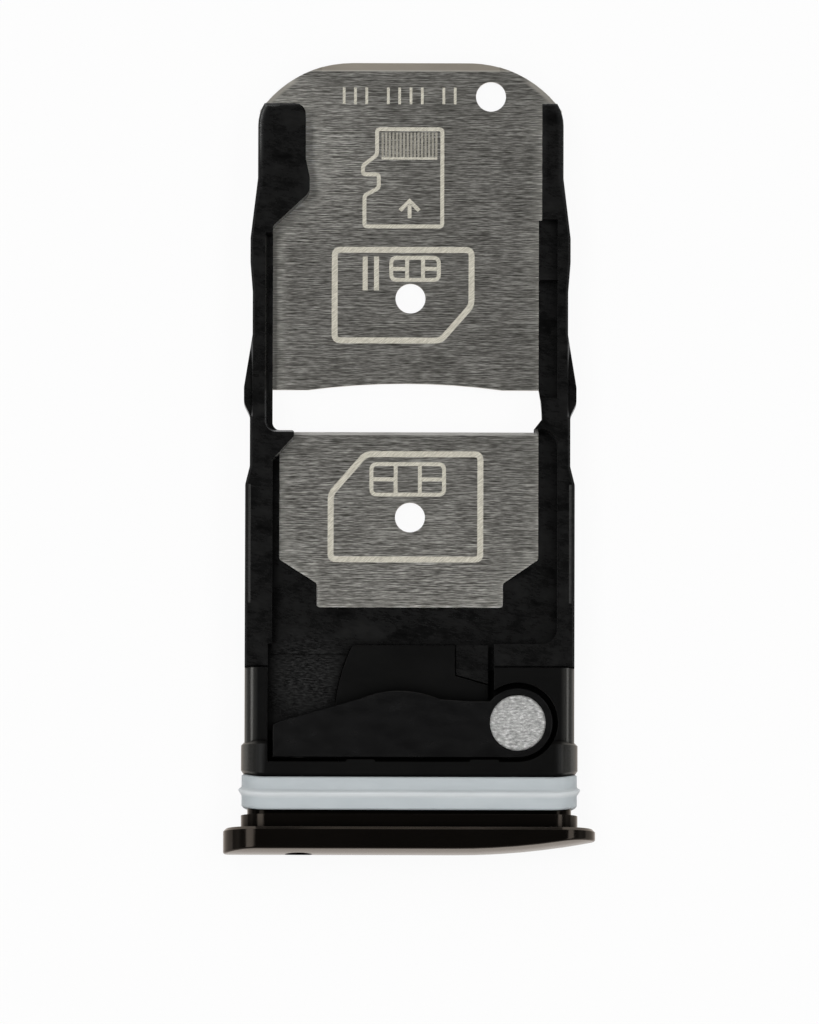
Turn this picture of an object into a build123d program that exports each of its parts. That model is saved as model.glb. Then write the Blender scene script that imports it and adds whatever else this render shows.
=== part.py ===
from build123d import *
import os

# Cap that closes the slot at the phone's edge, with a crowned front that bends back at its right end
cap_width = 16.36
cap_height = 2.9
cap_thickness = 1.12
cap_crown = 0.15
cap_bend_start = 2.0
cap_bend_radius = 32.0
cap_back_chamfer = 0.13
cap_front_fillet = 0.1

# Hole for the eject pin, to the left of the cap's middle
eject_hole_diameter = 1.2
eject_hole_offset = 4.86

# Flange behind the cap, groove for the seal, and collar in front of the groove
rim_width = 14.8
rim_height = 2.1
flange_length = 0.58
groove_length = 1.64
groove_depth = 0.28
groove_bow_radius = 2.8
groove_bow_angle = 40
collar_length = 1.6
collar_chamfer = 0.15

# Silicone seal
seal_length = 1.38
seal_thickness = 0.25
seal_edge_chamfer = 0.05
rib_height = 0.14
rib_length = 0.34
rib_setback = 0.45
rib_edge_chamfer = 0.12

# Flat body: bracket, moulded frame and steel floor share its width and thickness
body_width = 14.5
body_thickness = 1.4
bracket_end = 7.07
arm_edge_radius = 0.4
sheet_thickness = 0.2
ledge_height = 0.12

# Lever pocket in the bracket, with two pads on its lower wall
pocket_left = 6.24
pocket_radius = 1.77
pocket_floor_rise = 0.8
recess_floor_rise = 0.25
recess_start = 4.4
pad_length = 1.3
pad_height = 0.1
left_pad_x = -2.14
right_pad_x = 3.3

# Tongue of the bracket that ends the lower bay, its moulded-in notch and the slot beside it
tongue_radius = 8.06
tongue_right = 3.46
slot_width = 0.26
slot_start = 5.7
tongue_corner_radius = 0.2
notch_width = 1.46
notch_depth = 1.35
notch_slant = 0.42

# Fine grooves where the moulding meets the bracket and its tongue
parting_gap = 0.06
parting_depth = 0.12

# Lever, with lengths and heights counted from its pivot
pivot_x = 4.765
pivot_y = 4.65
lever_length = 10.8
lever_end_radius = 1.56
lever_corner_drop = 0.1
lever_corner_length = 0.26
lever_corner_height = 0.05
hump_start = 7.0
hump_peak = 4.5
hump_end = 3.4
hump_foot_height = 1.04
hump_height = 1.36
neck_start = 2.05
neck_top = 0.95
lever_clearance = 0.05
lever_top_drop = 0.08
lever_edge_chamfer = 0.05
tip_clearance = 0.1

# Rivet that the lever turns on
rivet_head_diameter = 2.45
rivet_head_thickness = 0.25
rivet_head_chamfer = 0.06
rivet_proud = 0.05
shank_diameter = 1.6
foot_diameter = 2.0
foot_height = 0.2
running_clearance = 0.04

# Card bays, counted from the cap's back face towards the tip
stop_line = 8.12
recess_step = 0.34
sim_bay_length = 9.48
window_length = 1.87
window_arch = 0.29
window_arch_length = 8.57
bay_left = 6.06
bay_right = 6.49
bay_corner_radius = 0.7

# Bare steel that shows inside the moulded ledges
bare_left = 5.75
bare_right = 5.65
foot_width = 8.2
foot_rise = 1.71
foot_corner_rise = 1.07
foot_corner_height = 1.05
bare_corner_radius = 0.15

# Side outline of the frame: run lengths from the bracket to the tip, and widths at their ends
side_length = 8.1
side_taper = 0.8
side_notch_length = 2.26
detent_lead = 0.56
detent_length = 0.7
detent_fall = 2.31
waist_length = 1.91
bump_rise = 1.31
bump_length = 1.06
bump_fall = 2.66
nose_length = 2.32
nose_taper = 1.0
side_notch_width = 14.1
detent_width = 14.64
waist_width = 13.89
bump_width = 14.1
nose_width = 13.46
nose_end_width = 12.9
outline_blend = 0.5
rail_edge_chamfer = 0.1
detent_root_width = 14.06
detent_drop = 0.25
detent_slope = 22

# Posts that place the cards: a key and a guide at the upper bay, and a stub at each end of the window
key_reach = 1.43
key_straight = 2.45
key_flare = 0.85
key_bulge = 0.18
key_crest = 0.65
key_slant = 1.5
key_corner_radius = 0.5
key_flare_radius = 1.0
key_foot_radius = 0.25
guide_reach = 0.7
guide_length = 5.13
step_length = 2.63
step_height = 0.5
left_stub_reach = 0.95
left_stub_length = 0.3
left_stub_slant = 1.04
left_stub_radius = 0.12
left_stub_blend = 0.35
right_stub_reach = 1.05
right_stub_lead = 0.7
right_stub_length = 1.4
right_stub_rise = 0.45
right_stub_hollow = 0.14
post_root = 0.3

# Relief along the left rail's inner edge, which runs out over the left stub
relief_depth = 0.5
relief_reach = 0.19
relief_rise = 0.03
relief_angle = 16

# Steel floor, folded up at both sides of the lower bay
tip_overhang = 1.94
tip_straight = 5.1
tip_radius = 5.0
tip_bevel = 0.4
tip_bevel_depth = 0.12
tip_bevel_length = 7.8
plate_width = 13.3
plate_tuck = 0.6
fold_skin = 0.11
fold_setback = 2.85
fold_radius = 0.3
fold_edge_chamfer = 0.07
hole_diameter = 1.32
tip_hole_x = 3.53
tip_hole_setback = 1.5
upper_hole_rise = 4.06
lower_hole_rise = 5.71

# Heights that follow from the sizes above
mid_height = cap_height / 2
body_bottom = mid_height - body_thickness / 2
body_top = mid_height + body_thickness / 2
floor_top = body_bottom + sheet_thickness
ledge_top = floor_top + ledge_height
pocket_floor = body_bottom + pocket_floor_rise
recess_floor = body_bottom + recess_floor_rise
lever_top = body_top - lever_top_drop
lever_bottom = pocket_floor + lever_clearance
tip_bottom = recess_floor + lever_clearance
rivet_top = lever_top + rivet_proud
rivet_head_bottom = rivet_top - rivet_head_thickness

# Stations along the tray that follow from the sizes above
collar_start = flange_length + groove_length
collar_end = collar_start + collar_length
pocket_wall = pivot_y - pocket_radius
slot_right = tongue_right + slot_width
window_start = stop_line + sim_bay_length
window_end = window_start + window_length
side_end = bracket_end + side_length
detent_start = side_end + side_taper + side_notch_length
detent_end = detent_start + detent_lead + detent_length
waist_start = detent_end + detent_fall
bump_start = waist_start + waist_length + bump_rise
bump_end = bump_start + bump_length
nose_start = bump_end + bump_fall
nose_end = nose_start + nose_length + nose_taper
tip_end = nose_end + tip_overhang
guide_start = nose_end - guide_length
back_face = (cap_thickness - tip_end) / 2

# Other sizes that follow
neck_width = rim_width - 2 * groove_depth
neck_height = rim_height - 2 * groove_depth
crown_radius = (mid_height**2 + cap_crown**2) / (2 * cap_crown)
front_face = back_face - cap_thickness


def level(height):
    """Flat sketch plane at a height, with Y counted from the cap's back face towards the tip."""
    return Plane((0, back_face, height))


def pivot_level(height):
    """Flat sketch plane at a height, with its origin on the lever's pivot."""
    return Plane((pivot_x, back_face + pivot_y, height))


def section(distance):
    """Upright sketch plane across the tray, at a distance from the cap's back face, facing the cap."""
    return Plane((0, back_face + distance, mid_height), x_dir=(1, 0, 0), z_dir=(0, -1, 0))


def span(left, right, low, high, mode=Mode.ADD):
    """Rectangle between two sides and two stations."""
    with Locations(((left + right) / 2, (low + high) / 2)):
        Rectangle(right - left, high - low, mode=mode)


def left_of_tongue(low, high):
    """Area between the pocket's left wall and the round edge of the tongue."""
    span(-pocket_left, tongue_right, low, high)
    with Locations((pivot_x, pivot_y)):
        Circle(tongue_radius, mode=Mode.SUBTRACT)


def bowed_bar(low, high, grow, edge_chamfer):
    """Bar around the groove's neck between two stations, with both ends bowed towards the tip."""
    straight_end = (rim_width - rim_height) / 2
    with BuildPart() as bar:
        with BuildSketch(level(0)):
            with BuildLine():
                lower_bow = JernArc((straight_end, low), (1, 0), groove_bow_radius, groove_bow_angle)
                upper_bow = JernArc((straight_end, high), (1, 0), groove_bow_radius, groove_bow_angle)
                Line(lower_bow @ 1, upper_bow @ 1)
                Line((0, low), (straight_end, low))
                Line((0, high), (straight_end, high))
                mirror(about=Plane.YZ)
            make_face()
        extrude(amount=cap_height)
        with BuildSketch(section(collar_end)):
            SlotOverall(neck_width + 2 * grow, neck_height + 2 * grow)
        extrude(amount=collar_end, mode=Mode.INTERSECT)
        rims = bar.edges().filter_by(Axis.Y, reverse=True).filter_by(Axis.Z, reverse=True)
        chamfer(rims, edge_chamfer)
    return bar.part


# Crowned form of the cap's front: a round bar that is straight on the left and bends back on the right
with BuildPart() as cap_form:
    with BuildSketch(Plane.YZ.offset(cap_bend_start)) as crown:
        with Locations((front_face + crown_radius, mid_height)):
            Circle(crown_radius)
    extrude(amount=-cap_width)
    bend_axis = Axis((cap_bend_start, front_face + cap_bend_radius, 0), (0, 0, 1))
    revolve(crown.sketch, axis=bend_axis, revolution_arc=45)

# Part of the bracket that reaches into the frame, rounded about the lever's pivot
with BuildSketch() as tongue:
    with Locations((pivot_x, pivot_y)):
        Circle(tongue_radius)
    span(pivot_x - tongue_radius, tongue_right, slot_start, stop_line, mode=Mode.INTERSECT)
    fillet(tongue.vertices().group_by(Axis.Y)[-1].sort_by(Axis.X)[0], tongue_corner_radius)

# Notch in the tongue that the frame's moulding fills
with BuildSketch() as notch:
    with BuildLine():
        Polyline(
            (tongue_right - notch_width, stop_line),
            (tongue_right - notch_width, stop_line - notch_depth),
            (tongue_right, stop_line - notch_depth - notch_slant),
            (tongue_right, stop_line),
            close=True,
        )
    make_face()

# Outline of the lever about its pivot
with BuildSketch() as lever_plan:
    with BuildLine():
        Polyline(
            (0, neck_top),
            (0, -lever_end_radius),
            (-lever_length, -lever_end_radius),
            (-lever_length, -lever_corner_drop),
            (-lever_length + lever_corner_length, lever_corner_height),
            (-hump_start, hump_foot_height),
        )
        ThreePointArc(
            (-hump_start, hump_foot_height), (-hump_peak, hump_height), (-hump_end, hump_foot_height)
        )
        Polyline((-hump_end, hump_foot_height), (-neck_start, neck_top), (0, neck_top))
    make_face()
    Circle(lever_end_radius)

# Window between the two bays, with an arched edge on the upper side and a hollow beside the right stub
with BuildSketch() as card_window:
    hollow_end = (bare_right + right_stub_hollow, window_start + right_stub_rise)
    arch_x = (bare_right - bay_left) / 2
    arch_right = (arch_x + window_arch_length / 2, window_end)
    arch_left = (arch_x - window_arch_length / 2, window_end)
    with BuildLine():
        Polyline(
            (-bay_left, window_end),
            (-bay_left, window_start),
            (bay_right - right_stub_reach, window_start),
            hollow_end,
        )
        TangentArc(hollow_end, (bare_right, window_end), tangent=(0, 1))
        Line((bare_right, window_end), arch_right)
        ThreePointArc(arch_right, (arch_x, window_end + window_arch), arch_left)
        Line(arch_left, (-bay_left, window_end))
    make_face()
    fillet(card_window.vertices().group_by(Axis.Y)[0].sort_by(Axis.X)[0], left_stub_blend)

# Posts that stand in the bays at the rails' full height, rooted in the rails
with BuildSketch() as posts:
    key_x = -bay_left + key_reach
    crest_x = key_x + key_bulge
    flare_y = nose_end - key_straight
    crest_y = flare_y - key_flare
    key_foot_y = crest_y - key_crest - key_slant
    root_x = -bay_left - post_root
    with BuildLine():
        key_edge = FilletPolyline(
            (root_x, nose_end),
            (key_x, nose_end),
            (key_x, flare_y),
            (crest_x, crest_y),
            (crest_x, crest_y - key_crest),
            (-bay_left, key_foot_y),
            (-bay_left, key_foot_y - key_foot_radius),
            radius=(key_corner_radius, key_flare_radius, key_flare_radius, key_corner_radius, key_foot_radius),
        )
        Polyline(key_edge @ 1, (root_x, key_foot_y - key_foot_radius), key_edge @ 0)
    make_face()
    span(bay_right - guide_reach, bay_right, guide_start, nose_end)
    left_stub_x = -bay_left + left_stub_reach
    left_stub_y = window_start - left_stub_length
    with BuildLine():
        left_stub_edge = FilletPolyline(
            (root_x, window_start),
            (left_stub_x, window_start),
            (left_stub_x, left_stub_y),
            (root_x, left_stub_y - left_stub_slant * (left_stub_x - root_x) / left_stub_reach),
            radius=left_stub_radius,
        )
        Line(left_stub_edge @ 1, left_stub_edge @ 0)
    make_face()
    span(root_x, -bay_left + left_stub_blend, window_start, window_start + left_stub_blend)
    right_stub_foot = (bay_right, window_start - right_stub_lead)
    right_stub_point = (bay_right - right_stub_reach, window_start)
    right_stub_top = window_start + right_stub_length
    with BuildLine():
        TangentArc(right_stub_foot, right_stub_point, tangent=(0, 1))
        Polyline(
            right_stub_point,
            (right_stub_point[0], right_stub_top),
            (bay_right, right_stub_top),
            right_stub_foot,
        )
    make_face()

# Rivet with a flush head and a flared foot
with BuildPart() as pivot_rivet:
    with BuildSketch(Plane((pivot_x, back_face + pivot_y, 0), x_dir=(1, 0, 0), z_dir=(0, -1, 0))):
        with BuildLine():
            Polyline(
                (0, body_bottom),
                (foot_diameter / 2, body_bottom),
                (shank_diameter / 2, body_bottom + foot_height),
                (shank_diameter / 2, rivet_head_bottom),
                (rivet_head_diameter / 2, rivet_head_bottom),
                (rivet_head_diameter / 2, rivet_top - rivet_head_chamfer),
                (rivet_head_diameter / 2 - rivet_head_chamfer, rivet_top),
                (0, rivet_top),
                close=True,
            )
        make_face()
    revolve(axis=Axis((pivot_x, back_face + pivot_y, 0), (0, 0, 1)))
pivot_rivet.part.label = "pivot_rivet"

# Collar in front of the groove
collar = bowed_bar(collar_start, collar_end + collar_length, groove_depth, collar_chamfer)

# Cap, flange, groove, collar and bracket: one anodised piece
with BuildPart() as front_cap:
    with BuildSketch(section(0)):
        SlotOverall(cap_width, cap_height)
    extrude(amount=cap_thickness)
    add(cap_form.part, mode=Mode.INTERSECT)
    chamfer(front_cap.faces().sort_by(Axis.Y)[-1].edges(), cap_back_chamfer)
    crown_faces = front_cap.faces().sort_by(Axis.Y)[:2]
    crown_seam = crown_faces[0].edges() & crown_faces[1].edges()
    fillet(crown_faces.edges() - crown_seam, cap_front_fillet)
    with BuildSketch(section(flange_length)):
        SlotOverall(rim_width, rim_height)
    extrude(amount=flange_length)
    with BuildSketch(section(collar_end)):
        SlotOverall(neck_width, neck_height)
    extrude(amount=collar_end)
    add(collar)
    with BuildSketch(section(bracket_end)):
        RectangleRounded(body_width, body_thickness, arm_edge_radius)
    extrude(amount=bracket_end - collar_end + collar_length / 2)
    # Lever pocket, open above
    with BuildSketch(level(pocket_floor)):
        span(-pocket_left, pivot_x, pocket_wall, pivot_y)
        span(-pocket_left, slot_right, pivot_y, bracket_end)
        with Locations((pivot_x, pivot_y)):
            Circle(pocket_radius)
        with Locations((left_pad_x, pocket_wall), (right_pad_x, pocket_wall)):
            SlotOverall(pad_length, 2 * pad_height, mode=Mode.SUBTRACT)
    extrude(amount=rim_height, mode=Mode.SUBTRACT)
    # Well that the lever's tip sweeps, and the slot beside the tongue
    with BuildSketch(level(recess_floor)):
        left_of_tongue(pocket_wall, bracket_end)
    extrude(amount=rim_height, mode=Mode.SUBTRACT)
    with BuildSketch(level(recess_floor)):
        span(tongue_right, slot_right, slot_start, bracket_end)
    extrude(amount=rim_height, mode=Mode.SUBTRACT)
    # Opening under the well that the frame's moulding fills
    with BuildSketch(level(body_bottom)):
        left_of_tongue(recess_start, bracket_end)
    extrude(amount=rim_height, mode=Mode.SUBTRACT)
    with BuildSketch(level(body_bottom)):
        add(tongue.sketch)
    extrude(amount=pocket_floor_rise)
    with BuildSketch(level(body_bottom)):
        add(notch.sketch)
    extrude(amount=body_thickness, mode=Mode.SUBTRACT)
    with BuildSketch(section(pocket_wall)):
        with Locations((-eject_hole_offset, 0)):
            Circle(eject_hole_diameter / 2)
    extrude(amount=2 * (pocket_wall + cap_thickness), mode=Mode.SUBTRACT)
    add(pivot_rivet.part, mode=Mode.SUBTRACT)
front_cap.part.label = "front_cap"

# Seal ring that sits against the collar, with a pointed rib
seal_band = bowed_bar(collar_start - seal_length, collar_start, seal_thickness, seal_edge_chamfer)
rib_end = collar_start - rib_setback
rib_band = bowed_bar(rib_end - rib_length, rib_end, seal_thickness + rib_height, rib_edge_chamfer)
with BuildPart() as seal_ring:
    add(seal_band)
    add(rib_band)
    with BuildSketch(section(collar_end)):
        SlotOverall(neck_width, neck_height)
    extrude(amount=collar_end, mode=Mode.SUBTRACT)
seal_ring.part.label = "seal_ring"

# Steel floor with its window and holes, folded up at both sides and bevelled at the tip
with BuildPart() as floor_plate:
    plate_start = stop_line + foot_rise - plate_tuck
    with BuildSketch(level(body_bottom)) as sheet:
        tip_reach = tip_straight / 2 + tip_radius
        span(-tip_reach, tip_reach, plate_start, tip_end)
        fillet(sheet.vertices().group_by(Axis.Y)[-1], tip_radius)
        span(-plate_width / 2, plate_width / 2, plate_start, tip_end, mode=Mode.INTERSECT)
    extrude(amount=sheet_thickness)
    bevel_end = Plane((-tip_bevel_length / 2, back_face + tip_end, floor_top), (0, 1, 0), (1, 0, 0))
    with BuildSketch(bevel_end):
        with BuildLine():
            Polyline((-tip_bevel, 0), (0, -tip_bevel_depth), (0, tip_bevel_depth), close=True)
        make_face()
    extrude(amount=tip_bevel_length, mode=Mode.SUBTRACT)
    with BuildSketch(section(side_end)):
        fold_x = body_width / 2 - fold_skin
        bottom = -body_thickness / 2
        top = body_thickness / 2
        with BuildLine():
            outside = FilletPolyline((0, bottom), (fold_x, bottom), (fold_x, top), radius=fold_radius)
            inside = FilletPolyline(
                (fold_x - sheet_thickness, top - fold_edge_chamfer),
                (fold_x - sheet_thickness, bottom + sheet_thickness),
                (0, bottom + sheet_thickness),
                radius=fold_radius - sheet_thickness,
            )
            Polyline(outside @ 1, (fold_x - sheet_thickness + fold_edge_chamfer, top), inside @ 0)
            mirror(about=Plane.YZ)
        make_face()
    extrude(amount=side_end - bracket_end - fold_setback)
    with BuildSketch(level(body_bottom)):
        add(card_window.sketch)
        with Locations(
            (tip_hole_x, tip_end - tip_hole_setback),
            (0, window_end + upper_hole_rise),
            (0, stop_line + lower_hole_rise),
        ):
            Circle(hole_diameter / 2)
    extrude(amount=sheet_thickness, mode=Mode.SUBTRACT)
floor_plate.part.label = "floor_plate"

# Moulded frame around the steel floor, with both bays and the fill around the tongue
with BuildPart() as card_frame:
    with BuildSketch(level(body_bottom)):
        with BuildLine():
            FilletPolyline(
                (body_width / 2, bracket_end),
                (body_width / 2, side_end),
                (side_notch_width / 2, side_end + side_taper),
                (side_notch_width / 2, detent_start),
                (detent_width / 2, detent_start + detent_lead),
                (detent_width / 2, detent_end),
                (waist_width / 2, waist_start),
                (waist_width / 2, waist_start + waist_length),
                (bump_width / 2, bump_start),
                (bump_width / 2, bump_end),
                (nose_width / 2, nose_start),
                (nose_width / 2, nose_end - nose_taper),
                radius=outline_blend,
            )
            TangentArc(
                (nose_width / 2, nose_end - nose_taper), (nose_end_width / 2, nose_end), tangent=(0, 1)
            )
            mirror(about=Plane.YZ)
            Line((-body_width / 2, bracket_end), (body_width / 2, bracket_end))
            Line((-nose_end_width / 2, nose_end), (nose_end_width / 2, nose_end))
        make_face()
    extrude(amount=body_thickness)
    chamfer(card_frame.faces().filter_by(Axis.Z).edges(), rail_edge_chamfer)
    # Detents, set below the rails' top
    with BuildSketch(level(body_top - detent_drop)):
        detent_reach = detent_width - detent_root_width
        detent_x = (detent_root_width + detent_reach) / 2
        detent_y = (detent_start + waist_start) / 2
        with Locations((-detent_x, detent_y), (detent_x, detent_y)):
            Rectangle(detent_reach, waist_start - detent_start)
    extrude(amount=detent_drop, taper=-detent_slope, mode=Mode.SUBTRACT)
    # Both bays, down to the ledges
    with BuildSketch(level(ledge_top)) as bays:
        span(-bay_left, bay_right, stop_line, tip_end)
        fillet(bays.vertices().group_by(Axis.Y)[0].sort_by(Axis.X)[-1], bay_corner_radius)
        span(-pocket_left, slot_right, bracket_end, stop_line)
        add(posts.sketch, mode=Mode.SUBTRACT)
    extrude(amount=body_thickness, mode=Mode.SUBTRACT)
    # Opening over the bare steel, inside the ledges
    with BuildSketch(level(body_bottom)):
        foot_y = stop_line + foot_rise
        corner_y = foot_y + foot_corner_rise
        with BuildLine():
            FilletPolyline(
                (-bare_left, window_end),
                (-bare_left, corner_y + foot_corner_height),
                (-foot_width / 2, corner_y),
                (-foot_width / 2, foot_y),
                (foot_width / 2, foot_y),
                (foot_width / 2, corner_y),
                (bare_right, corner_y + foot_corner_height),
                (bare_right, window_end),
                radius=bare_corner_radius,
                close=True,
            )
        make_face()
        span(-bay_left, bare_right, window_start, tip_end)
        span(-bay_left, bay_right - guide_reach, guide_start, tip_end)
        add(posts.sketch, mode=Mode.SUBTRACT)
    extrude(amount=body_thickness, mode=Mode.SUBTRACT)
    with BuildSketch(level(body_bottom)):
        add(card_window.sketch)
    extrude(amount=body_thickness, mode=Mode.SUBTRACT)
    with BuildSketch(level(body_top - relief_depth)) as relief:
        relief_end = key_foot_y - key_foot_radius - relief_reach
        span(-bay_left - relief_reach, 0, window_start + relief_rise, relief_end)
        fillet(relief.vertices().group_by(Axis.Y)[0].sort_by(Axis.X)[0], left_stub_blend)
    extrude(amount=relief_depth, taper=-relief_angle, mode=Mode.SUBTRACT)
    # Step below the guide
    with BuildSketch(level(ledge_top)):
        span(bare_right, bay_right, guide_start - step_length, guide_start)
    extrude(amount=step_height)
    # Room for the tongue and the lever's well, then the moulding that grips them
    with BuildSketch(level(recess_floor)):
        span(-pocket_left, slot_right, bracket_end, stop_line - recess_step)
    extrude(amount=body_thickness, mode=Mode.SUBTRACT)
    with BuildSketch(level(body_bottom)):
        add(tongue.sketch)
    extrude(amount=body_thickness, mode=Mode.SUBTRACT)
    with BuildSketch(level(body_bottom)):
        add(notch.sketch)
    extrude(amount=pocket_floor_rise)
    with BuildSketch(level(body_bottom)):
        left_of_tongue(recess_start, bracket_end)
    extrude(amount=recess_floor_rise)
    # Fine grooves along the tongue and the bracket
    with BuildSketch(level(recess_floor - parting_depth)):
        add(tongue.sketch)
        add(notch.sketch, mode=Mode.SUBTRACT)
        offset(amount=parting_gap, kind=Kind.INTERSECTION)
    extrude(amount=body_thickness, mode=Mode.SUBTRACT)
    with BuildSketch(level(body_top - parting_depth)):
        span(-body_width / 2, body_width / 2, bracket_end, bracket_end + parting_gap)
    extrude(amount=parting_depth, mode=Mode.SUBTRACT)
    add(floor_plate.part, mode=Mode.SUBTRACT)
card_frame.part.label = "card_frame"

# Lever: a thin arm over the tongue, with a thick tip that the eject pin pushes
with BuildPart() as eject_lever:
    with BuildSketch(pivot_level(lever_bottom)):
        add(lever_plan.sketch)
    extrude(amount=lever_top - lever_bottom)
    chamfer(eject_lever.faces().sort_by(Axis.Z)[-1].edges(), lever_edge_chamfer)
    with BuildSketch(pivot_level(tip_bottom)):
        add(lever_plan.sketch)
        Circle(tongue_radius + tip_clearance, mode=Mode.SUBTRACT)
    extrude(amount=lever_bottom - tip_bottom)
    with Locations((pivot_x, back_face + pivot_y, lever_top)):
        CounterBoreHole(
            radius=shank_diameter / 2 + running_clearance,
            counter_bore_radius=rivet_head_diameter / 2 + running_clearance,
            counter_bore_depth=lever_top - rivet_head_bottom + running_clearance,
        )
eject_lever.part.label = "eject_lever"

os.makedirs("parts", exist_ok=True)
export_step(front_cap.part, "parts/front_cap.step")
export_step(seal_ring.part, "parts/seal_ring.step")
export_step(card_frame.part, "parts/card_frame.step")
export_step(floor_plate.part, "parts/floor_plate.step")
export_step(eject_lever.part, "parts/eject_lever.step")
export_step(pivot_rivet.part, "parts/pivot_rivet.step")
print("length", round(tip_end + cap_thickness, 3), "back face at y", round(back_face, 4))
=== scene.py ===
# %% [markdown]
# # A phone's card tray, dressed for a photograph
# The solids of the tray come ready made: a metal cap with its bracket, a silicone seal, a moulded frame,
# a steel floor, a lever and its rivet. This lesson gives each of them the finish that the real one has,
# adds the marks that a laser leaves on the steel, and sets up the camera, the table and the lamps.
# Everything is in metres, in the frame of the solids: +X to the right, +Y from the cap to the tip, +Z up.

# %% Load the solids
from math import cos, pi, radians, sin, tan

import bmesh
import bpy
from mathutils import Matrix, Vector


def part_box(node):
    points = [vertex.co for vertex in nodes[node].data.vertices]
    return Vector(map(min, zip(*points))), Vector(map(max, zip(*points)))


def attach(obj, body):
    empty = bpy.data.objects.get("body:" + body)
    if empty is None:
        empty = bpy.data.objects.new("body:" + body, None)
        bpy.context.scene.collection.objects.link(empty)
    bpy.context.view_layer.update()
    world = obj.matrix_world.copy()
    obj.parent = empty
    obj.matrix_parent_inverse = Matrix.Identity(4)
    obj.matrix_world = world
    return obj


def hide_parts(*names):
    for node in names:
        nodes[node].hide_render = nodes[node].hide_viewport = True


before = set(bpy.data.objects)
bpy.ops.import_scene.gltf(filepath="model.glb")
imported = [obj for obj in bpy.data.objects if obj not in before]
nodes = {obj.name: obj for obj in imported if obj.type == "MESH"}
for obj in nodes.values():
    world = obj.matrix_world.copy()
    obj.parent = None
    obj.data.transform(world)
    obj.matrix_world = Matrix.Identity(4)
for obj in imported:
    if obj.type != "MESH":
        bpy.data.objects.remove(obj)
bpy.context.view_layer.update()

MM = 0.001
print("solids:", ", ".join(sorted(nodes)))

# %% [markdown]
# ## Camera
# A part this small is photographed from above with a long lens, so that near and far edges come out at
# one scale. The camera leans a little towards the cap, which is why a strip of the cap's front shows, and
# the tray lies turned by a hair. The distance follows from the lens: the picture's long side has to take
# in 45 mm at the tray.

# %% Place the camera
LENS = 800.0
SENSOR = 36.0
VIEW_HEIGHT = 45.01 * MM
VIEW_LEAN = radians(6.0)
VIEW_TURN = radians(0.15)
VIEW_TARGET = Vector((-0.018 * MM, -2.56 * MM, 2.77 * MM))

camera = bpy.data.objects.new("camera", bpy.data.cameras.new("camera"))
camera.data.lens = LENS
camera.data.sensor_width = SENSOR
distance = VIEW_HEIGHT * LENS / SENSOR
towards_camera = Vector((0, -sin(VIEW_LEAN), cos(VIEW_LEAN)))
camera.location = VIEW_TARGET + towards_camera * distance
turned = Matrix.Rotation(VIEW_LEAN, 3, "X") @ Matrix.Rotation(VIEW_TURN, 3, "Z")
camera.rotation_euler = turned.to_euler()
camera.data.clip_end = 10
bpy.context.scene.collection.objects.link(camera)
bpy.context.scene.camera = camera
print("camera distance in mm:", round(distance / MM, 1))

# %% [markdown]
# ## Table
# The table is a pale sheet that the camera, and every mirror-like surface, sees as plain white. Light
# Path tells these rays from the rest. A little of the lit sheet is mixed in, so the tray's shadow stays.


# %% Helpers for node trees
def add_node(tree, kind, **settings):
    """Adds a shader node and sets its input sockets by name, or its properties."""
    node = tree.nodes.new(kind)
    for key, value in settings.items():
        socket = key.replace("_", " ").title()
        if socket in node.inputs:
            node.inputs[socket].default_value = value
        else:
            setattr(node, key, value)
    return node


def empty_tree(owner):
    """Clears a material's or the world's nodes and gives back the tree."""
    owner.use_nodes = True
    owner.node_tree.nodes.clear()
    return owner.node_tree


def seen_directly_or_mirrored(tree):
    """Gives 1 for rays from the camera, from a glossy surface or through glass, and 0 for the rest."""
    path = add_node(tree, "ShaderNodeLightPath")
    value = path.outputs["Is Camera Ray"]
    for name in ("Is Glossy Ray", "Is Transmission Ray"):
        either = add_node(tree, "ShaderNodeMath", operation="MAXIMUM")
        tree.links.new(value, either.inputs[0])
        tree.links.new(path.outputs[name], either.inputs[1])
        value = either.outputs[0]
    return value


# %% Make the table
TABLE_SIZE = 1.2
TABLE_GREY = 0.90
WHITE_SHARE = 0.92

table_mesh = bpy.data.meshes.new("table")
corners = [(-1, -1), (1, -1), (1, 1), (-1, 1)]
table_mesh.from_pydata([(x * TABLE_SIZE, y * TABLE_SIZE, 0) for x, y in corners], [], [(0, 1, 2, 3)])
table = bpy.data.objects.new("table", table_mesh)
bpy.context.scene.collection.objects.link(table)

sheet_white = bpy.data.materials.new("sheet_white")
tree = empty_tree(sheet_white)
out = add_node(tree, "ShaderNodeOutputMaterial")
lit = add_node(tree, "ShaderNodeBsdfDiffuse", color=(TABLE_GREY, TABLE_GREY, TABLE_GREY, 1))
white = add_node(tree, "ShaderNodeEmission", strength=1.0)
shown = add_node(tree, "ShaderNodeMixShader")
shown.inputs["Fac"].default_value = WHITE_SHARE
choose = add_node(tree, "ShaderNodeMixShader")
tree.links.new(lit.outputs[0], shown.inputs[1])
tree.links.new(white.outputs[0], shown.inputs[2])
tree.links.new(seen_directly_or_mirrored(tree), choose.inputs["Fac"])
tree.links.new(lit.outputs[0], choose.inputs[1])
tree.links.new(shown.outputs[0], choose.inputs[2])
tree.links.new(choose.outputs[0], out.inputs["Surface"])
table_mesh.materials.append(sheet_white)
print("table:", TABLE_SIZE * 2, "m wide")

# %% [markdown]
# ## Light
# Long soft boxes stand left and right of the camera, and one at the far side. The dark ceiling between
# them is what the flat polished faces mirror, so they stay black while round ends catch the boxes as
# bright bands. The walls are a mid grey, palest halfway up. Two broad lamps, above and on the near side,
# fill in the matt surfaces: mirrors don't show these, as a photographer would flag them off.

# %% Set the room
ROOM_LEVELS = ((0.0, 0.22), (0.42, 0.36), (0.58, 0.14), (1.0, 0.08))

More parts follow.
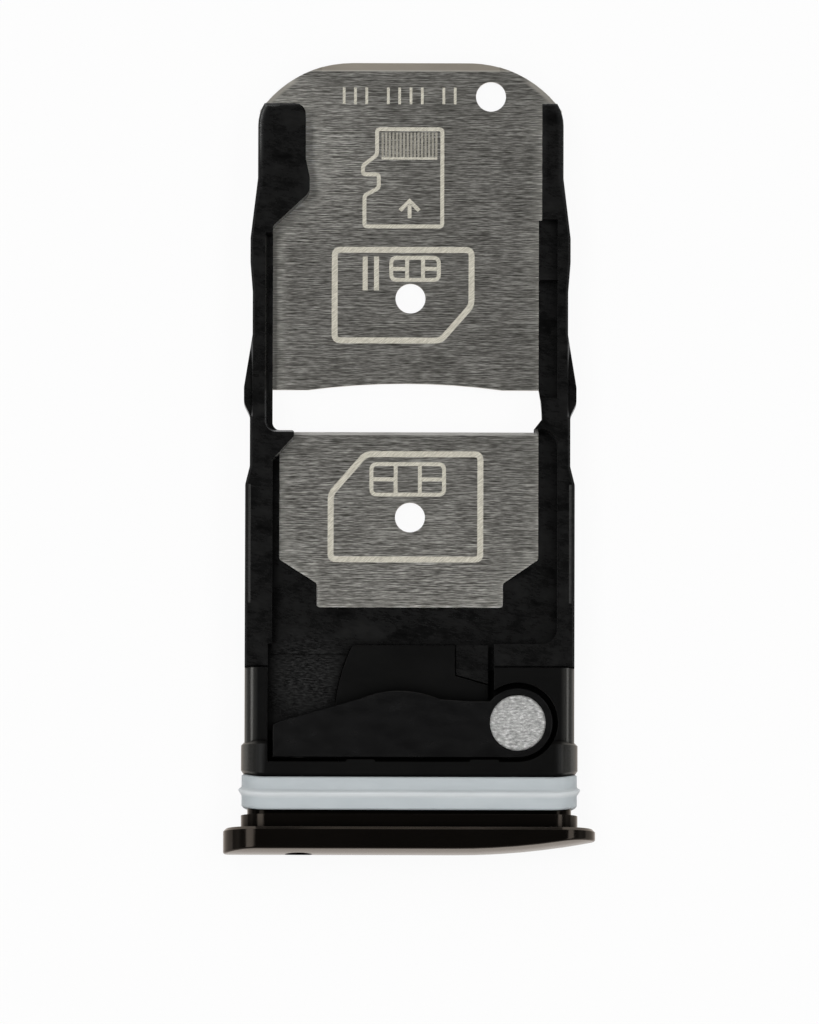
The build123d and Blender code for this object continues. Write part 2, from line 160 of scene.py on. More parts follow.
room = bpy.data.worlds.new("room")
bpy.context.scene.world = room
tree = empty_tree(room)
out = add_node(tree, "ShaderNodeOutputWorld")
background = add_node(tree, "ShaderNodeBackground")
direction = add_node(tree, "ShaderNodeTexCoord")
height = add_node(tree, "ShaderNodeSeparateXYZ")
ramp = add_node(tree, "ShaderNodeValToRGB")
stops = ramp.color_ramp.elements
while len(stops) < len(ROOM_LEVELS):
    stops.new(0.5)
for stop, (place, level) in zip(stops, ROOM_LEVELS):
    stop.position = place
    stop.color = (level, level, level, 1)
tree.links.new(direction.outputs["Generated"], height.inputs[0])
tree.links.new(height.outputs["Z"], ramp.inputs["Fac"])
tree.links.new(ramp.outputs["Color"], background.inputs["Color"])
tree.links.new(background.outputs[0], out.inputs["Surface"])
bpy.context.scene.view_settings.view_transform = "Standard"
print("room levels:", ROOM_LEVELS)


# %% Hang the lamps
def hang_lamp(name, lean, side, width, length, away, radiance):
    """Hangs a rectangular lamp that faces the tray, leaning from the zenith towards +X turned by side."""
    lamp = bpy.data.lights.new(name, "AREA")
    lamp.shape = "RECTANGLE"
    lamp.size = width
    lamp.size_y = length
    lamp.energy = radiance * pi * width * length
    holder = bpy.data.objects.new(name, lamp)
    turn = Matrix.Rotation(radians(side), 4, "Z") @ Matrix.Rotation(radians(lean), 4, "Y")
    holder.matrix_world = turn @ Matrix.Translation((0, 0, away))
    holder.visible_camera = False
    bpy.context.scene.collection.objects.link(holder)
    print(name, "power in W:", round(lamp.energy, 2))
    return holder


BOX_AWAY = 0.40
BOX_LENGTH = 0.50
BOXES = {"left_box": (24, 180, 22, 2.0), "right_box": (32, 0, 18, 1.8), "far_box": (46, 90, 22, 0.4)}
for name, (lean, side, span, radiance) in BOXES.items():
    width = 2 * BOX_AWAY * tan(radians(span / 2))
    hang_lamp(name, lean, side, width, BOX_LENGTH, BOX_AWAY, radiance)

FILL_SIZE = 0.5
FILLS = {"fill_above": (0, 0, 0.9, 1.8), "fill_near": (48, -90, 0.6, 1.15)}
for name, (lean, side, away, radiance) in FILLS.items():
    fill = hang_lamp(name, lean, side, FILL_SIZE, FILL_SIZE, away, radiance)
    fill.visible_glossy = False

# %% [markdown]
# ## How a finish is built
# Each finish starts from one Principled shader. Values that hold all over the surface are set on its own
# sockets, and only what varies gets nodes: a noise texture, stretched by a Mapping node to the grain of
# the real surface, then spread over a small range of colour, roughness or height. A Bevel node rounds the
# edges for the light, because no moulded or stamped edge is perfectly sharp.


# %% Helpers for finishes
def new_finish(name, **sockets):
    """Makes a material with one Principled shader and gives back the material, its tree and the shader."""
    material = bpy.data.materials.new(name)
    tree = empty_tree(material)
    out = add_node(tree, "ShaderNodeOutputMaterial")
    shader = add_node(tree, "ShaderNodeBsdfPrincipled")
    tree.links.new(shader.outputs[0], out.inputs["Surface"])
    for key, value in sockets.items():
        shader.inputs[key.replace("_", " ").title().replace("Ior", "IOR")].default_value = value
    return material, tree, shader


def grain(tree, size_mm, detail=2.0, roughness=0.5, turn=0.0):
    """Noise whose spots are about size_mm long in X, Y and Z, turned about Z."""
    place = add_node(tree, "ShaderNodeTexCoord")
    turned = add_node(tree, "ShaderNodeMapping")
    turned.inputs["Rotation"].default_value = (0, 0, radians(turn))
    stretch = add_node(tree, "ShaderNodeMapping")
    stretch.inputs["Scale"].default_value = [1 / (s * MM) for s in size_mm]
    noise = add_node(tree, "ShaderNodeTexNoise", scale=1.0, detail=detail, roughness=roughness)
    tree.links.new(place.outputs["Object"], turned.inputs["Vector"])
    tree.links.new(turned.outputs[0], stretch.inputs["Vector"])
    tree.links.new(stretch.outputs[0], noise.inputs["Vector"])
    return noise.outputs["Fac"]


def spread(tree, value, low, high, start=0.3, end=0.7):
    """Maps a value between start and end onto a range."""
    node = add_node(tree, "ShaderNodeMapRange", from_min=start, from_max=end, to_min=low, to_max=high)
    tree.links.new(value, node.inputs["Value"])
    return node.outputs["Result"]


def shades(tree, value, *stops):
    """Turns a value into a colour by a ramp of (place, colour) stops."""
    node = add_node(tree, "ShaderNodeValToRGB")
    elements = node.color_ramp.elements
    while len(elements) < len(stops):
        elements.new(0.5)
    for element, (place, color) in zip(elements, stops):
        element.position = place
        element.color = (*color, 1)
    tree.links.new(value, node.inputs["Fac"])
    return node.outputs["Color"]


def relief(tree, shader, value, depth_mm, strength, edge_mm):
    """Rounds the edges for the light, then bends the normal as if the surface rose where the value is 1."""
    rounding = add_node(tree, "ShaderNodeBevel", samples=6, radius=edge_mm * MM)
    node = add_node(tree, "ShaderNodeBump", distance=depth_mm * MM, strength=strength)
    tree.links.new(rounding.outputs[0], node.inputs["Normal"])
    tree.links.new(value, node.inputs["Height"])
    tree.links.new(node.outputs["Normal"], shader.inputs["Normal"])
    return rounding


# %% [markdown]
# Some tones belong to one place: an end, an edge, a corner. The next helpers turn a place on the part,
# the way a face looks or the open sky over it into a value from 0 to 1, which then mixes two tones.


# %% Helpers for places
def both_sides(tree):
    """Gives the place on the part with its left half folded onto the right, as most of it is alike there."""
    place = add_node(tree, "ShaderNodeTexCoord")
    folded = add_node(tree, "ShaderNodeVectorMath", operation="ABSOLUTE")
    halves = add_node(tree, "ShaderNodeSeparateXYZ")
    whole = add_node(tree, "ShaderNodeSeparateXYZ")
    joined = add_node(tree, "ShaderNodeCombineXYZ")
    tree.links.new(place.outputs["Object"], folded.inputs[0])
    tree.links.new(folded.outputs[0], halves.inputs[0])
    tree.links.new(place.outputs["Object"], whole.inputs[0])
    tree.links.new(halves.outputs["X"], joined.inputs["X"])
    tree.links.new(whole.outputs["Y"], joined.inputs["Y"])
    tree.links.new(whole.outputs["Z"], joined.inputs["Z"])
    return joined.outputs[0]


def along(tree, axis, start_mm, end_mm):
    """Gives 0 before start_mm on an axis of the part, and 1 after end_mm, with X counted from its middle."""
    parts = add_node(tree, "ShaderNodeSeparateXYZ")
    tree.links.new(both_sides(tree), parts.inputs[0])
    return spread(tree, parts.outputs[axis], 0, 1, start_mm * MM, end_mm * MM)


def away_from(tree, place, centre_mm, start_mm, end_mm):
    """Gives 0 up to start_mm from a point, and 1 past end_mm."""
    reach = add_node(tree, "ShaderNodeVectorMath", operation="DISTANCE")
    reach.inputs[1].default_value = [v * MM for v in centre_mm]
    tree.links.new(place, reach.inputs[0])
    return spread(tree, reach.outputs["Value"], 0, 1, start_mm * MM, end_mm * MM)


def in_the_open(tree, reach_mm, darkest):
    """Gives 1 where a point sees the whole sky within a reach, and the darkest value deep in a corner."""
    sky = add_node(tree, "ShaderNodeAmbientOcclusion", samples=8, distance=reach_mm * MM)
    return spread(tree, sky.outputs["AO"], darkest, 1, 0.45, 0.95)


def facing(tree, axis):
    """Gives 1 on faces that look along an axis, either way, and 0 on faces that look across it."""
    face = add_node(tree, "ShaderNodeTexCoord")
    either_way = add_node(tree, "ShaderNodeVectorMath", operation="ABSOLUTE")
    parts = add_node(tree, "ShaderNodeSeparateXYZ")
    tree.links.new(face.outputs["Normal"], either_way.inputs[0])
    tree.links.new(either_way.outputs[0], parts.inputs[0])
    return parts.outputs[axis]


def turned_away(tree, rounding):
    """Gives 0 on a flat face and 1 at an edge, where a Bevel node turns the normal."""
    face = add_node(tree, "ShaderNodeNewGeometry")
    match = add_node(tree, "ShaderNodeVectorMath", operation="DOT_PRODUCT")
    tree.links.new(rounding.outputs[0], match.inputs[0])
    tree.links.new(face.outputs["True Normal"], match.inputs[1])
    return spread(tree, match.outputs["Value"], 1, 0, 0.8, 0.98)


# %% [markdown]
# The last helpers join values and colours, and put a finished material on its piece.


# %% Helpers for mixing
def combine(tree, operation, first, second):
    """Joins two values by a Math operation."""
    node = add_node(tree, "ShaderNodeMath", operation=operation)
    tree.links.new(first, node.inputs[0])
    tree.links.new(second, node.inputs[1])
    return node.outputs[0]


def scaled(tree, color, share):
    """Multiplies a colour by a value."""
    node = add_node(tree, "ShaderNodeVectorMath", operation="SCALE")
    tree.links.new(color, node.inputs[0])
    tree.links.new(share, node.inputs["Scale"])
    return node.outputs[0]


def blend_colors(tree, share, first, second):
    """Goes from the first colour to the second as the share goes from 0 to 1."""
    node = add_node(tree, "ShaderNodeMix", data_type="RGBA")
    tree.links.new(share, node.inputs["Factor"])
    tree.links.new(first, node.inputs["A"])
    tree.links.new(second, node.inputs["B"])
    return node.outputs["Result"]


def dress(piece, material):
    """Puts one finish on a piece."""
    piece.data.materials.clear()
    piece.data.materials.append(material)
    print("finish:", material.name, "on", piece.name)


# %% [markdown]
# ## Brushed steel
# The floor is a stamped sheet that was brushed across the tray, so its scratches run along X. Two noises
# that are stretched in X, one of long strokes and one of short ones, give the streaks: their value
# darkens the metal, changes its roughness and cuts the surface a little. Painted light brightens the face
# towards the cap, in the walls' shade and most of all beside the left nose, as a painted reflection.

# %% Brush the floor
NOSE_SHEEN_SPOT = (-4.4, 13.4, 0.95)

steel, tree, shader = new_finish("brushed_steel", metallic=1.0)
strokes = grain(tree, (2.0, 0.042, 1.0), detail=2.0, roughness=0.6)
nicks = grain(tree, (0.5, 0.036, 1.0), detail=2.0, roughness=0.6)
patches = grain(tree, (2.4, 1.0, 1.0), detail=3.0)
long_part = spread(tree, strokes, 0, 0.45, 0.34, 0.66)
short_part = spread(tree, nicks, 0, 0.55, 0.34, 0.66)
on_face = spread(tree, facing(tree, "Z"), 0, 1, 0.3, 0.6)
streaks = combine(tree, "MULTIPLY", combine(tree, "ADD", long_part, short_part), on_face)
mixed = combine(tree, "ADD", spread(tree, streaks, 0, 0.9, 0.12, 0.88), spread(tree, patches, 0, 0.1))
dark, mid, pale = (0.120, 0.117, 0.105), (0.285, 0.278, 0.254), (0.59, 0.58, 0.54)
brushed = shades(tree, mixed, (0.05, dark), (0.5, mid), (0.95, pale))
# Painted light: the face is brightened towards the cap, in the walls' shade and around a spot by the left
# nose.
painted_sheen = spread(tree, along(tree, "Y", -5.0, 2.0), 1.32, 1.0, 0, 1)
painted_light_by_walls = spread(tree, in_the_open(tree, 1.0, 0), 2.0, 1.0, 0, 1)
place = add_node(tree, "ShaderNodeTexCoord")
past_sheen_spot = away_from(tree, place.outputs["Object"], NOSE_SHEEN_SPOT, 0.8, 4.5)
painted_sheen_by_nose = spread(tree, past_sheen_spot, 1.45, 1.0, 0, 1)
painted_sheen = combine(tree, "MULTIPLY", painted_sheen, combine(tree, "MULTIPLY", painted_light_by_walls, painted_sheen_by_nose))
print("floor: strokes along X, cleaner near", NOSE_SHEEN_SPOT)

# %% [markdown]
# The edges of the sheet have tones of their own, which masks by place put there. The coined bevel at the
# tip is smooth and a shade warmer, as the cut edges are. A painted highlight draws a pale line at its foot
# and along the rounded shoulders, and another along the window's near edge. The sheared tops of the folds
# are darker than the brushed face, and painted shade darkens their outer half further.

# %% Tone the sheet's edges
BEVEL_START = 17.16
BEVEL_LINE = 0.1
SHOULDER_CENTRE = (2.55, 12.56, 0.95)
SHOULDER_START = (4.9, 13.0)
WINDOW_EDGE = 1.16
WINDOW_HIGHLIGHT_WIDTH = 0.14
SHEET_MIDDLE = 0.85
FOLD_FOOT = 1.2
FOLD_SHADE_START = 7.09

coined = shades(tree, patches, (0.3, (0.49, 0.44, 0.375)), (0.7, (0.56, 0.51, 0.435)))
# Painted highlight: a pale tone for the line at the bevel's foot and the shoulders' rims.
painted_rim_highlight = shades(tree, patches, (0.3, (0.60, 0.57, 0.51)), (0.7, (0.72, 0.69, 0.62)))
sheared = shades(tree, nicks, (0.3, (0.070, 0.070, 0.069)), (0.7, (0.120, 0.120, 0.117)))
# Painted shade: the outer half of each fold's top is darkened.
painted_fold_shade = spread(tree, along(tree, "X", FOLD_SHADE_START, FOLD_SHADE_START + 0.05), 1, 0.15, 0, 1)
# Painted highlight: a near-white tone along the window's near edge.
window_highlight = shades(tree, patches, (0.3, (0.78, 0.76, 0.72)), (0.7, (0.92, 0.90, 0.86)))
before_window = along(tree, "Y", WINDOW_EDGE - WINDOW_HIGHLIGHT_WIDTH, WINDOW_EDGE - WINDOW_HIGHLIGHT_WIDTH + 0.02)
past_window = along(tree, "Y", WINDOW_EDGE + 0.1, WINDOW_EDGE + 0.2)
on_window_highlight = combine(tree, "MULTIPLY", before_window, spread(tree, past_window, 1, 0, 0, 1))
on_window_highlight = combine(tree, "MULTIPLY", on_window_highlight, along(tree, "Z", SHEET_MIDDLE, SHEET_MIDDLE + 0.05))
at_tip = along(tree, "Y", BEVEL_START, BEVEL_START + 0.03)
past_line = along(tree, "Y", BEVEL_START + 0.5 * BEVEL_LINE, BEVEL_START + BEVEL_LINE)
outer_rim = away_from(tree, both_sides(tree), SHOULDER_CENTRE, 4.74, 4.86)
past_start = [along(tree, axis, start, start + 0.4) for axis, start in zip("XY", SHOULDER_START)]
on_shoulder = combine(tree, "MULTIPLY", outer_rim, combine(tree, "MULTIPLY", *past_start))
on_fold = along(tree, "Z", FOLD_FOOT, FOLD_FOOT + 0.1)
tone = blend_colors(tree, on_face, coined, scaled(tree, brushed, painted_sheen))
tone = blend_colors(tree, on_window_highlight, tone, window_highlight)
tone = blend_colors(tree, on_shoulder, tone, painted_rim_highlight)
tone = blend_colors(tree, at_tip, tone, blend_colors(tree, past_line, painted_rim_highlight, coined))
tone = blend_colors(tree, on_fold, tone, scaled(tree, sheared, painted_fold_shade))
tree.links.new(tone, shader.inputs["Base Color"])
tree.links.new(spread(tree, streaks, 0.28, 0.40, 0, 1), shader.inputs["Roughness"])
relief(tree, shader, streaks, 0.002, 0.5, 0.03)
dress(nodes["floor_plate"], steel)

# %% [markdown]
# ## Seal
# The seal is a soft ring, so it gets a mesh of its own in place of its solid. First comes its profile:
# each point has a station along the tray and a height over the groove's neck. The rib is one wave of a
# cosine, which gives it a soft crest and hollow feet.

# %% Draw the seal's profile
SEAL_NEAR, SEAL_FAR = -15.66, -14.22
SEAL_WALL = 0.25
SEAL_EDGE = 0.06
RIB_NEAR, RIB_FAR = -15.18, -14.75
RIB_HEIGHT = 0.14
RIB_STEPS = 12

profile = [(SEAL_NEAR, 0), (SEAL_NEAR, SEAL_WALL - SEAL_EDGE), (SEAL_NEAR + SEAL_EDGE, SEAL_WALL)]
for k in range(RIB_STEPS + 1):
    share = k / RIB_STEPS
    rise = RIB_HEIGHT * 0.5 * (1 - cos(2 * pi * share))
    profile.append((RIB_NEAR + share * (RIB_FAR - RIB_NEAR), SEAL_WALL + rise))
profile += [(SEAL_FAR - SEAL_EDGE, SEAL_WALL), (SEAL_FAR, SEAL_WALL - SEAL_EDGE), (SEAL_FAR, 0)]

print("seal profile:", len(profile), "points")

# %% [markdown]
# The profile then runs around the neck, which is a slot with round ends. Both ends of the groove bow
# towards the tip, so the stations there follow an arc. Each point also keeps a share of painted highlight,
# which is most on the rib's near slope, for the finish to read.

# %% Sweep the seal around the neck
NECK_RADIUS = 0.77
NECK_MIDDLE = 1.45
NECK_STRAIGHT = 6.35
BOW_RADIUS = 2.8
HIGHLIGHT_PEAK = 0.31
END_STEPS = 32

around = []
for side, first_angle in ((1, -pi / 2), (-1, pi / 2)):
    for k in range(END_STEPS + 1):
        around.append((side * NECK_STRAIGHT, first_angle + pi * k / END_STEPS))

shape = bmesh.new()
# Painted highlight: a share per point, most on the rib's near slope, that pales the silicone there.
painted_highlight = shape.verts.layers.float.new("painted_highlight")
rings = []
for end_x, angle in around:
    ring = []
    for station, rise in profile:
        x = end_x + (NECK_RADIUS + rise) * cos(angle)
        beyond = max(abs(x) - NECK_STRAIGHT, 0)
        bow = BOW_RADIUS - (BOW_RADIUS ** 2 - beyond ** 2) ** 0.5
        z = NECK_MIDDLE + (NECK_RADIUS + rise) * sin(angle)
        point = shape.verts.new(Vector((x, station + bow, z)) * MM)
        share = (station - RIB_NEAR) / (RIB_FAR - RIB_NEAR)
        point[painted_highlight] = max(0, min(share / HIGHLIGHT_PEAK, (1 - share) / (1 - HIGHLIGHT_PEAK)))
        ring.append(point)
    rings.append(ring)
for one, two in zip(rings, rings[1:] + rings[:1]):
    for k in range(len(profile)):
        after = (k + 1) % len(profile)
        face = shape.faces.new((one[k], one[after], two[after], two[k]))
        face.smooth = True
bmesh.ops.recalc_face_normals(shape, faces=shape.faces)
for edge in shape.edges:
    edge.smooth = edge.calc_face_angle(0) < radians(30)
seal_mesh = bpy.data.meshes.new("seal_lip")
shape.to_mesh(seal_mesh)
shape.free()
seal_lip = bpy.data.objects.new("seal_lip", seal_mesh)
bpy.context.scene.collection.objects.link(seal_lip)
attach(seal_lip, "tray")
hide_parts("seal_ring")
print("seal faces:", len(seal_mesh.polygons))

# %% [markdown]
# ## Silicone
# The seal is pale, slightly bluish silicone. It is soft to light as well, so a little of it scatters
# under the skin, and its moulded face is satin. A painted highlight makes the rib's near slope and crest
# paler.

# %% Finish the seal
silicone, tree, shader = new_finish("silicone", subsurface_weight=0.15, specular_ior_level=0.4)
shader.inputs["Subsurface Radius"].default_value = (0.0004, 0.0004, 0.0004)
cloud = grain(tree, (1.6, 0.5, 0.5), detail=3.0)
moulded_tone = shades(tree, cloud, (0.3, (0.515, 0.56, 0.58)), (0.7, (0.555, 0.60, 0.62)))
# Painted highlight: a paler tone on the rib's near slope and crest.
highlight_tone = shades(tree, cloud, (0.3, (0.75, 0.78, 0.79)), (0.7, (0.79, 0.82, 0.83)))
highlight_share = add_node(tree, "ShaderNodeAttribute", attribute_name="painted_highlight")
tone = blend_colors(tree, highlight_share.outputs["Fac"], moulded_tone, highlight_tone)
tree.links.new(tone, shader.inputs["Base Color"])
tree.links.new(spread(tree, grain(tree, (0.2, 0.2, 0.2)), 0.40, 0.55), shader.inputs["Roughness"])
relief(tree, shader, grain(tree, (0.09, 0.09, 0.09)), 0.002, 0.4, 0.03)
dress(seal_lip, silicone)

# %% [markdown]
# ## Black plastic
# The frame is glass-filled black plastic. It isn't one flat black: the flow of the melt leaves slow
# changes of tone, the mould's skin leaves fine scratches, and painted shade darkens the corners. The floor
# of the lever's well, close to where the melt came in, is the roughest, and its fibres' glints are painted
# as pale specks. The outer edges of the two noses are rounded the most, to find the slot, so the Bevel
# node's radius grows there. The left one carries a pale painted highlight on its rounded edge.

# %% Finish the frame
WELL_CENTRE = (-4.5, -9.7, 1.0)
WELL_REACH = (0.8, 2.4)
EDGE_ROUND = 0.02
NOSE_ROUND = 0.28
NOSE_START = 11.0
NOSE_SIDE = 5.75
NOSE_HIGHLIGHT_CENTRE = (-6.6, 14.7, 2.1)
NOSE_HIGHLIGHT_REACH = (0.5, 1.9)

moulded, tree, shader = new_finish("moulded_black", specular_ior_level=0.18)
flow = grain(tree, (1.3, 0.9, 1.0), detail=4.0, roughness=0.6)
scratches = grain(tree, (0.30, 0.09, 0.1), detail=3.0, roughness=0.65, turn=14)
fibres = grain(tree, (0.22, 0.06, 0.1), detail=3.0, roughness=0.65, turn=4)
place = add_node(tree, "ShaderNodeTexCoord")
past_well = away_from(tree, place.outputs["Object"], WELL_CENTRE, *WELL_REACH)
skin = combine(tree, "ADD", spread(tree, flow, 0, 0.65), spread(tree, scratches, 0, 0.35))
plain = shades(tree, skin, (0.2, (0.0008, 0.0008, 0.0008)), (0.8, (0.0082, 0.0082, 0.0080)))
# Painted glints: the fibres of the well's floor show as pale specks in the colour.
painted_glints = shades(tree, fibres, (0.42, (0.0012, 0.0012, 0.0012)), (0.66, (0.030, 0.030, 0.0295)))
painted_nose_highlight = shades(tree, scratches, (0.3, (0.24, 0.24, 0.235)), (0.7, (0.40, 0.40, 0.395)))
tree.links.new(spread(tree, skin, 0.22, 0.34, 0.1, 0.9), shader.inputs["Roughness"])
rounding = relief(tree, shader, fibres, 0.003, 0.4, EDGE_ROUND)
at_nose = along(tree, "Y", NOSE_START, NOSE_START + 1.0)
on_nose_edge = combine(tree, "MULTIPLY", at_nose, along(tree, "X", NOSE_SIDE, NOSE_SIDE + 0.2))
radius = spread(tree, on_nose_edge, EDGE_ROUND * MM, NOSE_ROUND * MM, 0, 1)
tree.links.new(radius, rounding.inputs["Radius"])
# Painted shade: the colour is darkened in corners, by how little sky a point sees.
painted_corner_shade = in_the_open(tree, 0.4, 0.05)
tone = scaled(tree, blend_colors(tree, past_well, painted_glints, plain), painted_corner_shade)
# Painted highlight: a pale tone on the left nose's rounded outer edge.
past_nose_highlight = away_from(tree, place.outputs["Object"], NOSE_HIGHLIGHT_CENTRE, *NOSE_HIGHLIGHT_REACH)
on_nose_highlight = combine(tree, "MULTIPLY", spread(tree, past_nose_highlight, 1, 0, 0, 1), turned_away(tree, rounding))
tree.links.new(blend_colors(tree, on_nose_highlight, tone, painted_nose_highlight), shader.inputs["Base Color"])
dress(nodes["card_frame"], moulded)

# %% [markdown]
# ## Lever
# The lever is a finer moulding than the frame, evenly dark and smoother.

# %% Finish the lever
lever_black, tree, shader = new_finish("lever_black", specular_ior_level=0.35)
patches = grain(tree, (1.0, 0.5, 0.5), detail=3.0)
tone = shades(tree, patches, (0.3, (0.0018, 0.0018, 0.0019)), (0.7, (0.0030, 0.0030, 0.0031)))
tree.links.new(tone, shader.inputs["Base Color"])
tree.links.new(spread(tree, patches, 0.22, 0.28), shader.inputs["Roughness"])
relief(tree, shader, grain(tree, (0.05, 0.05, 0.05), detail=2.0), 0.001, 0.3, 0.02)
dress(nodes["eject_lever"], lever_black)

# %% [markdown]
# ## Cap and bracket
# The cap, its flange and the bracket are one piece of metal with a dark brown coat, which turns rosy at a
# grazing angle: the specular tint says so. The cap's rim and the flange are polished and mirror the dark
# ceiling. Its front was blasted to a satin, and the bracket more so, where the coat is nearly neutral. A
# mask by place and one by the way a face looks make the difference. Painted highlights lighten the faces
# that look towards the tip, as the back chamfer, and the bracket's outer edges; painted shade darkens
# corners.

# %% Finish the cap
POLISH_END = -14.25
EDGE_HIGHLIGHT_START = 6.65

coat, tree, shader = new_finish("brown_coat", metallic=1.0, specular_tint=(1.0, 0.93, 0.87, 1))
cloud = grain(tree, (2.0, 1.0, 0.6), detail=3.0)
speckle = grain(tree, (0.05, 0.05, 0.05), detail=3.0)
brown = shades(tree, cloud, (0.3, (0.034, 0.029, 0.024)), (0.7, (0.041, 0.035, 0.030)))
blasted = shades(tree, cloud, (0.3, (0.016, 0.016, 0.0158)), (0.7, (0.020, 0.020, 0.0197)))
# Painted highlight: a paler tone for the bracket's outer edges.
painted_edge_highlight = shades(tree, speckle, (0.3, (0.075, 0.074, 0.070)), (0.7, (0.110, 0.109, 0.103)))
on_bracket = along(tree, "Y", POLISH_END, POLISH_END + 0.05)
painted_highlight = along(tree, "X", EDGE_HIGHLIGHT_START, EDGE_HIGHLIGHT_START + 0.25)
face = add_node(tree, "ShaderNodeTexCoord")
looks = add_node(tree, "ShaderNodeSeparateXYZ")
tree.links.new(face.outputs["Normal"], looks.inputs[0])
# Painted highlight: faces that look towards the tip, as the back chamfer, are brightened.
painted_light_on_chamfer = spread(tree, looks.outputs["Y"], 1, 2.2, 0.5, 0.6)
bracket_tone = blend_colors(tree, painted_highlight, blasted, painted_edge_highlight)
tone = blend_colors(tree, on_bracket, scaled(tree, brown, painted_light_on_chamfer), bracket_tone)
# Painted shade: the colour is darkened in corners, by how little sky a point sees.
tree.links.new(scaled(tree, tone, in_the_open(tree, 0.7, 0.2)), shader.inputs["Base Color"])
to_front = spread(tree, looks.outputs["Y"], 0.06, 0, -0.9, -0.6)
polish = combine(tree, "ADD", to_front, spread(tree, on_bracket, 0.12, 0.30, 0, 1))
polish = combine(tree, "ADD", polish, spread(tree, speckle, 0, 0.06))
tree.links.new(polish, shader.inputs["Roughness"])
relief(tree, shader, speckle, 0.0006, 0.3, 0.03)
dress(nodes["front_cap"], coat)

# %% [markdown]
# ## Rivet
# The rivet's head is bare metal that was pressed flat, with a grainy, mottled face.

# %% Finish the rivet
rivet_metal, tree, shader = new_finish("rivet_metal", metallic=0.25)
mottle = grain(tree, (0.20, 0.09, 0.1), detail=4.0, roughness=0.75)
dark, mid, pale = (0.24, 0.24, 0.235), (0.47, 0.47, 0.46), (0.84, 0.84, 0.83)
tone = shades(tree, mottle, (0.36, dark), (0.52, mid), (0.68, pale))
tree.links.new(tone, shader.inputs["Base Color"])
tree.links.new(spread(tree, mottle, 0.55, 0.35), shader.inputs["Roughness"])
relief(tree, shader, mottle, 0.006, 0.6, 0.05)
dress(nodes["pivot_rivet"], rivet_metal)

# %% [markdown]
# ## Laser marks
# A laser drew the outlines of the cards on the steel, to show which card goes where and which way round.
# Its beam roughens the metal to a pale cream. The marks could be a mask in the steel's finish, but as
# thin ribbons of their own they stay sharp at any distance. Each outline is a list of corners, which are
# rounded first, then given a width.

# %% Helpers for ribbons
MARK_RISE = 0.004 * MM
MARK_ROOT = 0.02 * MM
SHEET = 0.2 * MM
floor_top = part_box("floor_plate")[0].z + SHEET


def rounded(corners, radius, closed):
    """Replaces the corners of a path by curves that start a radius before each and end a radius after."""
    path = []
    count = len(corners)
    for i, corner in enumerate(corners):
        if not closed and i in (0, count - 1):
            path.append(corner)
            continue
        before = corner + (corners[i - 1] - corner).normalized() * radius
        after = corner + (corners[(i + 1) % count] - corner).normalized() * radius
        for t in (0, 0.25, 0.5, 0.75, 1):
            path.append(before.lerp(corner, t).lerp(corner.lerp(after, t), t))
    return path


def ribbon(shape, path, width, closed):
    """Adds a thin ribbon along a path, sunk a little into the floor, to a mesh that is being built."""
    rings = []
    count = len(path)
    for i, point in enumerate(path):
        before = path[i - 1] if closed or i > 0 else point - (path[1] - point)
        after = path[(i + 1) % count] if closed or i < count - 1 else point + (point - path[i - 1])
        into, away = (point - before).normalized(), (after - point).normalized()
        heading = (into + away).normalized()
        side = Vector((-heading.y, heading.x)) * (width / 2) / max(heading.dot(into), 0.5)
        ring = []
        for offset, level in ((side, -MARK_ROOT), (side, MARK_RISE), (-side, MARK_RISE), (-side, -MARK_ROOT)):
            place = point + offset
            ring.append(shape.verts.new((place.x, place.y, floor_top + level)))
        rings.append(ring)
    pairs = list(zip(rings, rings[1:])) + ([(rings[-1], rings[0])] if closed else [])
    for one, two in pairs:
        for k in range(4):
            shape.faces.new((one[k], one[(k + 1) % 4], two[(k + 1) % 4], two[k]))
    if not closed:
        shape.faces.new(rings[0][::-1])
        shape.faces.new(rings[-1])


def laser_mark(name, strokes, finish):
    """Makes one mark on the floor, of strokes: (corners in mm, corner radius, line width, closed)."""
    shape = bmesh.new()
    for corners, radius, width, closed in strokes:
        corners = [Vector(corner) * MM for corner in corners]
        path = rounded(corners, radius * MM, closed) if radius else corners
        ribbon(shape, path, width * MM, closed)
    bmesh.ops.recalc_face_normals(shape, faces=shape.faces)
    mesh = bpy.data.meshes.new(name)
    shape.to_mesh(mesh)
    shape.free()
    mark = bpy.data.objects.new(name, mesh)
    bpy.context.scene.collection.objects.link(mark)
    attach(mark, "tray")
    dress(mark, finish)
    return mark


# %% [markdown]
# The mark's own finish is a pale cream with the fine slanted hatch that the moving beam leaves. Where the
# beam moved faster, the mark is fainter.


# %% Finishes for the marks
def mark_finish(name, dark, pale):
    """Makes the finish of a mark between two tones."""
    finish, tree, shader = new_finish(name, metallic=0.15, specular_ior_level=0.3)
    hatch = grain(tree, (0.30, 0.035, 0.3), detail=2.0, turn=-38)
    tree.links.new(shades(tree, hatch, (0.35, dark), (0.65, pale)), shader.inputs["Base Color"])
    tree.links.new(spread(tree, hatch, 0.7, 0.5), shader.inputs["Roughness"])
    relief(tree, shader, hatch, 0.003, 0.5, 0.002)
    return finish


laser_cream = mark_finish("laser_cream", (0.52, 0.495, 0.415), (0.72, 0.69, 0.585))
laser_faint = mark_finish("laser_faint", (0.30, 0.285, 0.24), (0.42, 0.40, 0.34))

# %% [markdown]
# The lower bay takes a card with one cut corner. Inside its outline stands a chip's contact field, as a
# plain sign for a card. The upper bay takes either a second such card, with a count of two, or a memory
# card with contact strips and an arrow. A row of plain strokes stands at the tip, where a factory counts
# its lots. Strokes only touch: where two thin ribbons overlap at one height, they flicker.

# %% Draw the marks
LINE = 0.26
FINE_LINE = 0.17


def bar(x1, y1, x2, y2, width):
    """One straight stroke with square ends."""
    return ([(x1, y1), (x2, y2)], 0, width, False)


